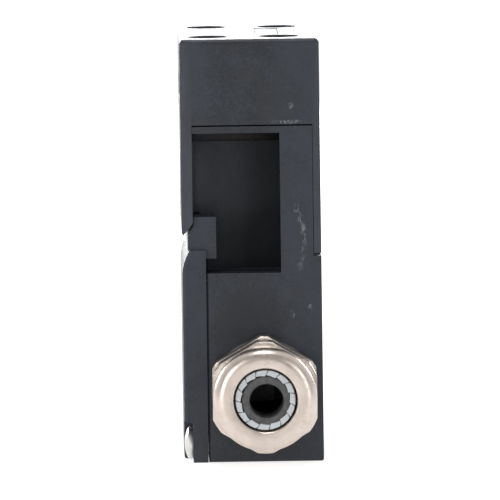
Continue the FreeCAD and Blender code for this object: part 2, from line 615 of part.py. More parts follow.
def top_slot_plug():
    """Plug that closes the unused slot in the top, with a notch to lift it by."""
    half_x = TONGUE_SLOT_LENGTH / 2 - FIT_GAP
    half_y = TONGUE_SLOT_WIDTH / 2 - FIT_GAP
    top = HEIGHT - PLUG_SET_IN
    plug = box(-half_x, half_x, TOP_SLOT_Y - half_y, TOP_SLOT_Y + half_y, top - PLUG_DEPTH, top)
    wall = DRIVE_SLOT
    plug = plug.cut(box(-half_x + wall, half_x - wall, TOP_SLOT_Y - half_y + wall,
                        TOP_SLOT_Y + half_y - wall, top - PLUG_DEPTH - 1, top - 1.5 * wall))
    notch = box(half_x - 2 * wall, half_x + 1, TOP_SLOT_Y - wall, TOP_SLOT_Y + wall,
                top - wall, top + 1)
    return plug.cut(notch)


# ---------------------------------------------------------------- cam mechanism
def square_bar(x0, x1, y, z):
    half = AXLE_SQUARE / 2
    return box(x0, x1, y - half, y + half, z - half, z + half)


def cam_axle():
    middle = CHAMBER_HALF_X - SLIDE_GAP
    end = BEARING_OUTER_X - SLIDE_GAP
    return square_bar(-middle, middle, CAM_Y, CAM_Z).fuse(rod_x(AXLE_RADIUS, -end, end, CAM_Y, CAM_Z))


def coded_wheel():
    """Notched wheel that the tongue turns as it comes in from the front or from the top."""
    half = WHEEL_WIDTH / 2
    wheel = rod_x(WHEEL_RADIUS, -half, half, CAM_Y, CAM_Z)
    wheel = wheel.cut(square_bar(-half - 1, half + 1, CAM_Y, CAM_Z))
    reach = WHEEL_RADIUS - WHEEL_NOTCH_DEPTH
    for turn in (45, 135):
        notch = box(-half - 1, half + 1, -WHEEL_NOTCH_WIDTH / 2, WHEEL_NOTCH_WIDTH / 2,
                    reach, WHEEL_RADIUS + 1)
        notch.rotate(Vector(0, 0, 0), Vector(1, 0, 0), turn - 90)
        notch.translate(Vector(0, CAM_Y, CAM_Z))
        wheel = wheel.cut(notch)
    for x in (-half / 3, half / 3):
        ring = rod_x(WHEEL_RADIUS + 1, x - WHEEL_GROOVE / 2, x + WHEEL_GROOVE / 2, CAM_Y, CAM_Z)
        ring = ring.cut(rod_x(WHEEL_RADIUS - WHEEL_GROOVE, x - 1, x + 1, CAM_Y, CAM_Z))
        wheel = wheel.cut(ring)
    return wheel


def involute_point(turn):
    """Point of the cam that meets the plunger's flat face once the wheel has turned this far."""
    reach = CAM_REACH - CAM_LIFT_PER_RADIAN * turn
    normal = Vector(0, math.sin(turn), -math.cos(turn))
    tangent = Vector(0, -math.cos(turn), -math.sin(turn))
    return Vector(0, CAM_Y, CAM_Z) + normal * reach + tangent * CAM_LIFT_PER_RADIAN


def cam_discs():
    """Pair of involute cams: their flat follower moves in step with the turn."""
    first = math.radians(-1)
    last = math.radians(CAM_TURN + 15)
    steps = 12
    points = [involute_point(first + (last - first) * step / steps) for step in range(steps + 1)]
    curve = Part.BSplineCurve()
    curve.interpolate(points)
    middle = Vector(0, CAM_Y, CAM_Z)
    outline = Part.Wire([Part.makeLine(middle, points[0]), curve.toShape(),
                         Part.makeLine(points[-1], middle)])
    lobe = Part.Face(outline).extrude(Vector(CAM_DISC_WIDTH, 0, 0))
    disc = lobe.fuse(rod_x(CAM_HUB_RADIUS, 0, CAM_DISC_WIDTH, CAM_Y, CAM_Z)).removeSplitter()
    disc = disc.cut(square_bar(-1, CAM_DISC_WIDTH + 1, CAM_Y, CAM_Z))
    disc.translate(Vector(CAM_DISC_INNER_X, 0, 0))
    return both_sides(disc)


def cam_bearings():
    block = box(BEARING_INNER_X, BEARING_OUTER_X, CAM_Y - BEARING_HALF, CAM_Y + BEARING_HALF,
                CAM_Z - BEARING_HALF, TOWER_TOP_Z)
    block = block.cut(rod_x(AXLE_RADIUS + RUN_GAP, 0, HALF_X, CAM_Y, CAM_Z))
    return both_sides(block)


# ---------------------------------------------------------------- plunger
def plunger_yoke():
    """Two arms under the cams, a cross bar and the stem down to the contact carrier."""
    arm = box(CAM_DISC_INNER_X, CAM_DISC_OUTER_X + CAM_DISC_SPACE, PLUNGER_Y - YOKE_HALF_Y,
              PLUNGER_Y + YOKE_HALF_Y, YOKE_BAR_BASE_Z, YOKE_TOP_Z)
    bar = box(-YOKE_HALF_X, YOKE_HALF_X, PLUNGER_Y - YOKE_HALF_Y, PLUNGER_Y + YOKE_HALF_Y,
              YOKE_BAR_BASE_Z, YOKE_BAR_TOP_Z)
    stem = rod_z(STEM_RADIUS, CARRIER_TOP_Z, YOKE_BAR_BASE_Z + 1, 0, PLUNGER_Y)
    return bar.multiFuse(both_sides(arm) + [stem]).removeSplitter()


def plunger_spring():
    return coil(SPRING_RADIUS, SPRING_WIRE, SPRING_SEAT_Z + SEAL_HEIGHT, YOKE_BAR_BASE_Z,
                SPRING_TURNS, 0, PLUNGER_Y)


def plunger_seal():
    ring = rod_z(SEAL_RADIUS, SPRING_SEAT_Z, SPRING_SEAT_Z + SEAL_HEIGHT, 0, PLUNGER_Y)
    return ring.cut(rod_z(STEM_RADIUS + FIT_GAP, SPRING_SEAT_Z - 1, SPRING_SEAT_Z + SEAL_HEIGHT + 1,
                          0, PLUNGER_Y))


# ---------------------------------------------------------------- contacts
def bridge_base(row):
    """Underside of a bridge: up against its window in the two upper rows, down in the lowest."""
    half = BRIDGE_WINDOW / 2
    if row == 2:
        return ROW_Z[row] - half
    return ROW_Z[row] + half - BRIDGE_THICK


def shelf_base(row):
    """Underside of the fixed contact's shelf: a full stroke above, or just below in the lowest row."""
    if row == 2:
        return bridge_base(row) - 2 * TIP_HEIGHT - CAM_FACE_GAP - STRIP_THICK
    return bridge_base(row) + BRIDGE_THICK + 2 * TIP_HEIGHT + PLUNGER_TRAVEL + CAM_FACE_GAP


def contact_carrier():
    body = box(-CARRIER_HALF_X, CARRIER_HALF_X, PLUNGER_Y - CARRIER_HALF_Y, PLUNGER_Y + CARRIER_HALF_Y,
               CARRIER_BASE_Z, CARRIER_TOP_Z)
    half_y = BRIDGE_WIDTH / 2 + FIT_GAP
    for z in ROW_Z:
        body = body.cut(box(-HALF_X, HALF_X, PLUNGER_Y - half_y, PLUNGER_Y + half_y,
                            z - BRIDGE_WINDOW / 2, z + BRIDGE_WINDOW / 2))
    return body


def contact_bridges():
    bridges = []
    for row in range(3):
        base = bridge_base(row)
        bar = box(-BRIDGE_HALF_X, BRIDGE_HALF_X, PLUNGER_Y - BRIDGE_WIDTH / 2,
                  PLUNGER_Y + BRIDGE_WIDTH / 2, base, base + BRIDGE_THICK)
        tip_z = base - TIP_HEIGHT if row == 2 else base + BRIDGE_THICK
        tips = [rod_z(TIP_RADIUS, tip_z, tip_z + TIP_HEIGHT, side * TIP_X, PLUNGER_Y)
                for side in (-1, 1)]
        bridges.append(bar.multiFuse(tips))
    return bridges


def contact_springs():
    springs = []
    for row in range(3):
        base = bridge_base(row)
        low = base + BRIDGE_THICK if row == 2 else ROW_Z[row] - BRIDGE_WINDOW / 2
        high = ROW_Z[row] + BRIDGE_WINDOW / 2 if row == 2 else base
        springs.append(coil(BRIDGE_SPRING_RADIUS, BRIDGE_SPRING_WIRE, low, high,
                            BRIDGE_SPRING_TURNS, 0, PLUNGER_Y))
    return springs


def fixed_contact(row):
    """Brass strip on the right: a plate under the terminal and a shelf over or under the bridge."""
    shelf_z = shelf_base(row)
    half = CLAMP_SIZE / 2
    low = min(shelf_z, TERMINAL_Z[row] - half)
    high = max(shelf_z + STRIP_THICK, TERMINAL_Z[row] + half)
    plate = box(STRIP_INNER_X, BLOCK_HALF_X - FIT_GAP, STRIP_FRONT_Y, STRIP_BACK_Y, low, high)
    shelf = box(STRIP_INNER_X, CHANNEL_HALF_X - FIT_GAP, PLUNGER_Y - BRIDGE_WIDTH / 2, STRIP_BACK_Y,
                shelf_z, shelf_z + STRIP_THICK)
    tip_z = shelf_z + STRIP_THICK if row == 2 else shelf_z - TIP_HEIGHT
    tip = rod_z(TIP_RADIUS, tip_z, tip_z + TIP_HEIGHT, TIP_X, PLUNGER_Y)
    strip = plate.multiFuse([shelf, tip]).removeSplitter()
    return strip.cut(rod_y(TERMINAL_SCREW_RADIUS, STRIP_FRONT_Y - 1, STRIP_BACK_Y + 1,
                           TERMINAL_X, TERMINAL_Z[row]))


def fixed_contacts():
    return [solid for row in range(3) for solid in both_sides(fixed_contact(row))]


def terminal_screws():
    screw = cheese_screw(TERMINAL_HEAD_RADIUS, TERMINAL_HEAD_HEIGHT, TERMINAL_SCREW_RADIUS,
                         TERMINAL_SCREW_LENGTH)
    return [placed(screw, Vector(side * TERMINAL_X, CLAMP_FRONT_Y, z), Vector(0, -1, 0))
            for side in (-1, 1) for z in TERMINAL_Z]


def terminal_clamps():
    clamps = []
    half = CLAMP_SIZE / 2
    for z in TERMINAL_Z:
        plate = box(TERMINAL_X - half, TERMINAL_X + half, CLAMP_FRONT_Y, STRIP_FRONT_Y, z - half, z + half)
        plate = plate.cut(rod_y(TERMINAL_SCREW_RADIUS, CLAMP_FRONT_Y - 1, STRIP_FRONT_Y + 1, TERMINAL_X, z))
        clamps += both_sides(plate)
    return clamps


def contact_block():
    """Insulating block: a channel for the carrier between two columns of terminal bays."""
    block = box(-BLOCK_HALF_X, BLOCK_HALF_X, BLOCK_FRONT_Y, BLOCK_BACK_Y, BLOCK_BASE_Z, BLOCK_TOP_Z)
    low = BLOCK_BASE_Z - 1
    high = BLOCK_TOP_Z + 1
    guide = CARRIER_HALF_X + SLIDE_GAP
    rib_back_y = PLUNGER_Y - BRIDGE_WIDTH / 2 - SLIDE_GAP
    mouth = box(-guide, guide, BLOCK_FRONT_Y - 1, rib_back_y, low, high)
    channel = box(-CHANNEL_HALF_X, CHANNEL_HALF_X, rib_back_y, CHANNEL_BACK_Y, low, high)
    block = block.cut([mouth, channel])
    bay_inner = TERMINAL_X - CLAMP_SIZE / 2 - FIT_GAP
    for row, z in enumerate(TERMINAL_Z):
        bay = box(bay_inner, BLOCK_HALF_X + 1, BLOCK_FRONT_Y - 1, STRIP_BACK_Y, z - BAY_HALF_Z + 0.3,
                  z + BAY_HALF_Z - 0.3)
        strip = fixed_contact(row).BoundBox
        slot = box(0, BLOCK_HALF_X + 1, STRIP_FRONT_Y, STRIP_BACK_Y, strip.ZMin, strip.ZMax)
        hole = rod_y(TERMINAL_SCREW_RADIUS, 0, TERMINAL_SCREW_LENGTH, TERMINAL_X, z)
        hole.translate(Vector(0, CLAMP_FRONT_Y + FIT_GAP, 0))
        for cut in (bay, slot, hole):
            block = block.cut(both_sides(cut))
    return block.removeSplitter()


# ---------------------------------------------------------------- cover
def cover_shell():
    """Cover with a rolled upper edge; its arc starts upright on the face."""
    brow_z = COVER_HEIGHT - COVER_BROW_HEIGHT
    radius = (COVER_BROW_HEIGHT ** 2 + COVER_BROW_DEPTH ** 2) / (2 * COVER_BROW_DEPTH)
    half_turn = math.asin(COVER_BROW_HEIGHT / radius) / 2
    start = Vector(-HALF_X, FRONT_Y, brow_z)
    middle = Vector(-HALF_X, FRONT_Y + radius * (1 - math.cos(half_turn)),
                    brow_z + radius * math.sin(half_turn))
    end = Vector(-HALF_X, FRONT_Y + COVER_BROW_DEPTH, COVER_HEIGHT)
    corners = [end, Vector(-HALF_X, COVER_BACK_Y, COVER_HEIGHT), Vector(-HALF_X, COVER_BACK_Y, 0),
               Vector(-HALF_X, FRONT_Y, 0), start]
    edges = [Part.Arc(start, middle, end).toShape()] + Part.makePolygon(corners).Edges
    shell = Part.Face(Part.Wire(edges)).extrude(Vector(WIDTH, 0, 0))
    front = edges_where(shell, lambda b: b.YMax < FRONT_Y + COVER_BROW_DEPTH + 1e-6
                        and b.ZLength > 1 and b.XLength < 1e-6)
    front += edges_where(shell, lambda b: b.ZMax < 1e-6 and b.YMax < FRONT_Y + 1e-6)
    shell = shell.makeFillet(EDGE_ROUND, front)
    inner = HALF_X - COVER_SIDE_WALL
    room = box(-inner, inner, COVER_INNER_Y, COVER_BACK_Y + 1, COVER_SIDE_WALL,
               COMPARTMENT_TOP_Z + GASKET_WIDTH + FIT_GAP)
    boss = box(COVER_SINK_INNER_X - COVER_SIDE_WALL, HALF_X, COVER_INNER_Y - 1, COVER_BACK_Y + 1, 0,
               COVER_SINK_HEIGHT + COVER_SIDE_WALL)
    for side in both_sides(boss):
        room = room.cut(side)
    return shell.cut(room)


def terminal_cover():
    slope_z = COVER_HEIGHT + RAIL_FACE
    face = [(HOOK_Y, RAIL_TOP_Z), (HOOK_Y, slope_z + RAIL_SLOPE), (RAIL_FRONT_Y, slope_z)]
    rail_base = COVER_HEIGHT - 1
    rail = along_x(face + [(RAIL_FRONT_Y, rail_base), (RAIL_BACK_Y, rail_base), (RAIL_BACK_Y, RAIL_TOP_Z)],
                   -LUG_OUTER_X, LUG_OUTER_X)
    lug_base = COVER_HEIGHT - LUG_DROP
    lug = along_x(face + [(RAIL_FRONT_Y, lug_base), (LUG_BACK_Y, lug_base), (LUG_BACK_Y, RAIL_TOP_Z)],
                  LUG_INNER_X, LUG_OUTER_X)
    cover = cover_shell().multiFuse([rail] + both_sides(lug)).removeSplitter()
    sink_top = COVER_SINK_HEIGHT
    sink = along_x([(FRONT_Y - 1, -1), (COVER_SINK_Y, -1), (COVER_SINK_Y, sink_top),
                    (FRONT_Y - 1, sink_top + COVER_SINK_SLOPE)], COVER_SINK_INNER_X, HALF_X + 1)
    hole = rod_y(COVER_BOLT_RADIUS + FIT_GAP, FRONT_Y, PARTING_Y, COVER_BOLT_X, COVER_BOLT_Z)
    for cut in (sink, hole):
        cover = cover.cut(both_sides(cut))
    return cover.removeSplitter()


def cover_gasket():
    """Frame of rubber in the corner between the housing's rim and the cover's walls."""
    outer_x = COMPARTMENT_HALF_X + GASKET_WIDTH
    inner_x = COMPARTMENT_HALF_X
    top = COMPARTMENT_TOP_Z + GASKET_WIDTH
    base = COVER_SINK_HEIGHT + COVER_SIDE_WALL + FIT_GAP
    foot_x = COVER_SINK_INNER_X - COVER_SIDE_WALL - FIT_GAP
    foot = SIDE_WALL - GASKET_WIDTH
    width = GASKET_WIDTH
    y0 = PARTING_Y - GASKET_HEIGHT
    outside = [(outer_x, top), (outer_x, base), (foot_x, base), (foot_x, foot)]
    inside = [(inner_x, top - width), (inner_x, base + width), (foot_x - width, base + width),
              (foot_x - width, foot + width)]
    ring = along_y(outside + [(-x, z) for x, z in reversed(outside)], y0, PARTING_Y)
    return ring.cut(along_y(inside + [(-x, z) for x, z in reversed(inside)], y0 - 1, PARTING_Y + 1))


def cover_screws():
    screw = pan_screw(COVER_BOLT_HEAD_RADIUS, COVER_BOLT_HEAD_HEIGHT, COVER_BOLT_RADIUS,
                      COVER_BOLT_LENGTH)
    screw.rotate(Vector(0, 0, 0), Vector(0, 0, 1), 90)
    return [placed(screw, Vector(side * COVER_BOLT_X, COVER_SINK_Y, COVER_BOLT_Z), Vector(0, -1, 0))
            for side in (-1, 1)]


def cover_inserts():
    insert = rod_y(INSERT_RADIUS, PARTING_Y, PARTING_Y + INSERT_LENGTH, COVER_BOLT_X, COVER_BOLT_Z)
    insert = insert.cut(rod_y(COVER_BOLT_RADIUS + RUN_GAP, PARTING_Y - 1, PARTING_Y + INSERT_LENGTH + 1,
                              COVER_BOLT_X, COVER_BOLT_Z))
    return both_sides(insert)


# ---------------------------------------------------------------- cable entries
def washer():
    ring = rod_x(WASHER_RADIUS, HALF_X, GLAND_HEX_X, ENTRY_Y, ENTRY_Z)
    return ring.cut(rod_x(THREAD_RADIUS, HALF_X - 1, GLAND_HEX_X + 1, ENTRY_Y, ENTRY_Z))


def gland_body():
    hexagon = hexagon_x(HEX_FLATS, GLAND_HEX_X, GLAND_HEX_X + GLAND_HEX_LENGTH, ENTRY_Y, ENTRY_Z,
                        HEX_TURNED_RADIUS, (False, True))
    inner_end = HALF_X - ENTRY_THREAD_LENGTH
    outer_end = NUT_X + NUT_THREAD_LENGTH
    barrel = turned_x([(inner_end, 0), (inner_end, THREAD_RADIUS - FIT_GAP),
                       (GLAND_HEX_X + 1, THREAD_RADIUS - FIT_GAP), (GLAND_HEX_X + 1, NUT_THREAD_RADIUS),
                       (outer_end, NUT_THREAD_RADIUS), (outer_end, 0)], ENTRY_Y, ENTRY_Z)
    bore = rod_x(GLAND_BORE_RADIUS, inner_end - 1, outer_end + 1, ENTRY_Y, ENTRY_Z)
    return hexagon.fuse(barrel).cut(bore).removeSplitter()


def dome_nut():
    """Hexagonal cap nut with a domed end and a round opening for the cable."""
    hexagon = hexagon_x(HEX_FLATS, NUT_X, DOME_X, ENTRY_Y, ENTRY_Z, NUT_TURNED_RADIUS, (True, True))
    edge = DOME_RADIUS - DOME_FACE_RADIUS
    diagonal = edge * math.sin(math.radians(45))
    start = Vector(DOME_FACE_X - edge, 0, DOME_RADIUS)
    bend = Vector(DOME_FACE_X - edge + diagonal, 0, DOME_FACE_RADIUS + diagonal)
    end = Vector(DOME_FACE_X, 0, DOME_FACE_RADIUS)
    edges = [Part.Arc(start, bend, end).toShape()]
    edges += Part.makePolygon([end, Vector(DOME_FACE_X, 0, 0), Vector(DOME_X - 1, 0, 0),
                               Vector(DOME_X - 1, 0, DOME_RADIUS), start]).Edges
    dome = Part.Face(Part.Wire(edges)).revolve(Vector(0, 0, 0), Vector(1, 0, 0), 360)
    dome.translate(Vector(0, ENTRY_Y, ENTRY_Z))
    thread = NUT_THREAD_RADIUS + FIT_GAP
    thread_end = NUT_X + NUT_THREAD_LENGTH + SLIDE_GAP
    room = turned_x([(NUT_X - 1, 0), (NUT_X - 1, thread), (thread_end, thread),
                     (DOME_FACE_X - CAGE_SET_IN, DOME_OPENING_RADIUS),
                     (DOME_FACE_X + 1, DOME_OPENING_RADIUS), (DOME_FACE_X + 1, 0)], ENTRY_Y, ENTRY_Z)
    return hexagon.fuse(dome).cut(room).removeSplitter()


def clamping_cage():
    """Sleeve with slanted slits, so that its fingers close on the seal."""
    front = DOME_FACE_X - CAGE_SET_IN
    back = GLAND_HEX_X + GLAND_HEX_LENGTH
    slit_start = front - CAGE_SLOT_LENGTH
    cage = turned_x([(back, 0), (back, GLAND_BORE_RADIUS - FIT_GAP / 2),
                     (slit_start, GLAND_BORE_RADIUS - FIT_GAP / 2), (front, CAGE_RADIUS), (front, 0)],
                    ENTRY_Y, ENTRY_Z)
    cage = cage.cut(rod_x(SEAL_SLEEVE_RADIUS, back - 1, front + 1, ENTRY_Y, ENTRY_Z))
    middle = (CAGE_RADIUS + SEAL_SLEEVE_RADIUS) / 2
    slits = []
    for step in range(CAGE_SLOTS):
        slit = box(slit_start, front + 1, -2, 2, -CAGE_SLOT_WIDTH / 2, CAGE_SLOT_WIDTH / 2)
        slit.rotate(Vector(0, 0, 0), Vector(1, 0, 0), CAGE_SLOT_SLANT)
        slit.translate(Vector(0, middle, 0))
        slit.rotate(Vector(0, 0, 0), Vector(1, 0, 0), 360 * step / CAGE_SLOTS)
        slit.translate(Vector(0, ENTRY_Y, ENTRY_Z))
        slits.append(slit)
    return cage.cut(slits)


def gland_seal():
    front = DOME_FACE_X - CAGE_SET_IN - SEAL_SET_IN
    back = GLAND_HEX_X + GLAND_HEX_LENGTH
    sleeve = rod_x(SEAL_SLEEVE_RADIUS - RUN_GAP, back, front, ENTRY_Y, ENTRY_Z)
    return sleeve.cut(rod_x(CABLE_RADIUS, back - 1, front + 1, ENTRY_Y, ENTRY_Z))


def blanking_plug():
    """Slotted screw plug in the entry on the left."""
    head_end = HALF_X + WASHER_THICK + PLUG_HEAD_HEIGHT
    inner_end = HALF_X - PLUG_THREAD_LENGTH
    thread = THREAD_RADIUS - FIT_GAP
    plug = turned_x([(inner_end, 0), (inner_end, thread), (GLAND_HEX_X, thread),
                     (GLAND_HEX_X, PLUG_HEAD_RADIUS), (head_end - PLUG_BEVEL, PLUG_HEAD_RADIUS),
                     (head_end, PLUG_HEAD_RADIUS - PLUG_BEVEL), (head_end, 0)], ENTRY_Y, ENTRY_Z)
    plug = plug.cut(rod_x(thread - PLUG_WALL, inner_end - 1, HALF_X - PLUG_WALL, ENTRY_Y, ENTRY_Z))
    slot = box(head_end - PLUG_SLOT_DEPTH, head_end + 1, ENTRY_Y - PLUG_SLOT_REACH, ENTRY_Y + PLUG_SLOT_REACH,
               ENTRY_Z - PLUG_SLOT_WIDTH / 2, ENTRY_Z + PLUG_SLOT_WIDTH / 2)
    return mirrored(plug.cut(slot))


# ---------------------------------------------------------------- all parts
save("housing", housing())
save("head_cap", head_cap())
save("head_gasket", head_gasket())
save("head_screws", *head_screws())
save("tongue_guide", tongue_guide())
save("top_slot_plug", top_slot_plug())
save("terminal_cover", terminal_cover())
save("cover_gasket", cover_gasket())
save("cover_screws", *cover_screws())
save("cover_inserts", *cover_inserts())
save("gland_washer", washer())
save("gland_body", gland_body())
save("gland_seal", gland_seal())
save("clamping_cage", clamping_cage())
save("dome_nut", dome_nut())
save("blanking_plug", blanking_plug())
save("blanking_plug_washer", mirrored(washer()))
save("cam_bearings", *cam_bearings())
save("cam_axle", cam_axle())
save("coded_wheel", coded_wheel())
save("cam_discs", *cam_discs())
save("plunger_yoke", plunger_yoke())
save("plunger_spring", plunger_spring())
save("plunger_seal", plunger_seal())
save("contact_block", contact_block())
save("contact_carrier", contact_carrier())
save("contact_bridges", *contact_bridges())
save("contact_springs", *contact_springs())
save("fixed_contacts", *fixed_contacts())
save("terminal_screws", *terminal_screws())
save("terminal_clamps", *terminal_clamps())
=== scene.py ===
import json
import math

import bmesh
import bpy
from mathutils import Matrix, Vector


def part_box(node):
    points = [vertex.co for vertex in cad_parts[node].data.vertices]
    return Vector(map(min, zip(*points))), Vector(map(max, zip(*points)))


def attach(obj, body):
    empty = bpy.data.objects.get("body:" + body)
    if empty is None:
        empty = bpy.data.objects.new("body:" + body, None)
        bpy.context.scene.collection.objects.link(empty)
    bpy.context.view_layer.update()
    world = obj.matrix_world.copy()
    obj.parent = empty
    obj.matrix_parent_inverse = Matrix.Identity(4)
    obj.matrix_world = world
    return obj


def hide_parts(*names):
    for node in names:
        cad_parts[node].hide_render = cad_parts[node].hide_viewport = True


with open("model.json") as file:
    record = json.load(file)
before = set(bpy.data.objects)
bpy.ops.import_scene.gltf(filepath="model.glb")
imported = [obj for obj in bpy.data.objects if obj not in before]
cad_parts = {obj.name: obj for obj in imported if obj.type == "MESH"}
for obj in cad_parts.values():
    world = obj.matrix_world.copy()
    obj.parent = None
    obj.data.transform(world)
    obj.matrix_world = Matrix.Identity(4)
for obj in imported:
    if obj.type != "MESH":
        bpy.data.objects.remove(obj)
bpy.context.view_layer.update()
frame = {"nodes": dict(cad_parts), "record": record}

MM = 0.001
NODES = frame["nodes"]
MERGE_DISTANCE = 0.0005
FLAT_ANGLE = math.radians(0.4)

WORLD_LEVEL = 0.55          # light from all round
ROOM_IN_REFLECTIONS = 0.42
CEILING_IN_REFLECTIONS = 0.85
FLOOR_GLOW = 0.70           # brings the floor in view up to white
FLOOR_HALF_SIZE = 3.0       # metres


# ---------------------------------------------------------------- places, in millimetres
SEAM_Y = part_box("cover_gasket")[1][1] / MM
COVER_TOP_Z = 45.2
GLAND_MOUNT = next(mount for mount in frame["record"]["mounts"] if mount["name"] == "cable_clamp")
GLAND_Y = GLAND_MOUNT["pos_m"][1] / MM
GLAND_Z = GLAND_MOUNT["pos_m"][2] / MM
GLAND_FACE_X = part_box("dome_nut")[1][0] / MM
GLAND_NUT_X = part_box("gland_seal")[0][0] / MM
PITTED_CORNER = (39.4, -8.4, 7.6)
DOME_RADIUS = 10.95
DOME_FACE_RADIUS = 8.45
DOME_OPENING_RADIUS = 6.75
DOME_TURNED_LENGTH = 5.2
DOME_JOINT = 0.05           # band that joins the collar to the hexagon
DOME_EDGE_STEPS = 16
DOME_BORE_BEVEL = 0.2
SEAL_DEPTH = 1.4            # behind the nut's face
SEAL_OFFSET = (0.24, -0.26)  # in Y and Z
SEAL_OUTER = 5.35
SEAL_BORE = 3.58
SEAL_EDGE_RADIUS = 0.45
CAGE_DEPTH = 0.8
CAGE_INNER_RADIUS = SEAL_OUTER + 0.03
CAGE_TIP_RADIUS = SEAL_OUTER - 0.02
CAGE_FRONT_RADIUS = 6.3
CAGE_ROOT_RADIUS = 6.9
CAGE_FINGERS = 15
CAGE_FINGER_LENGTH = 6.0
CAGE_SLIT = 0.20
CAGE_LEAN = 0.60            # how far a finger's sides lean from the radius
CAGE_STAGGER = 0.30
CAGE_PHASE = math.radians(12)
CAGE_EDGE_RADIUS = 0.13


# ---------------------------------------------------------------- camera
# The picture is a side view: the camera stands off the +X side, a little above and a little
# towards the cover, and is tilted slightly.
SENSOR = 36.0
CAMERA_AZIMUTH = math.radians(89.25)
CAMERA_ELEVATION = math.radians(4.98)
CAMERA_ROLL = math.radians(-0.77)
CAMERA_DISTANCE = 2.0
CAMERA_LENS = 670.0
CAMERA_TARGET = Vector((0.0, -0.02, 42.95)) * MM


def make_camera():
    away = Vector((math.sin(CAMERA_AZIMUTH) * math.cos(CAMERA_ELEVATION),
                   -math.cos(CAMERA_AZIMUTH) * math.cos(CAMERA_ELEVATION),
                   math.sin(CAMERA_ELEVATION)))
    data = bpy.data.cameras.new("camera")
    data.sensor_width = SENSOR
    data.lens = CAMERA_LENS
    data.clip_start = 0.05
    data.clip_end = 50.0
    camera = bpy.data.objects.new("camera", data)
    bpy.context.scene.collection.objects.link(camera)
    right = Vector((0, 0, 1)).cross(away).normalized()
    up = away.cross(right)
    turn = Matrix((right, up, away)).transposed()
    roll = Matrix.Rotation(CAMERA_ROLL, 3, "Z")
    place = Matrix.Translation(CAMERA_TARGET + CAMERA_DISTANCE * away)
    camera.matrix_world = place @ (turn @ roll).to_4x4()
    bpy.context.scene.camera = camera


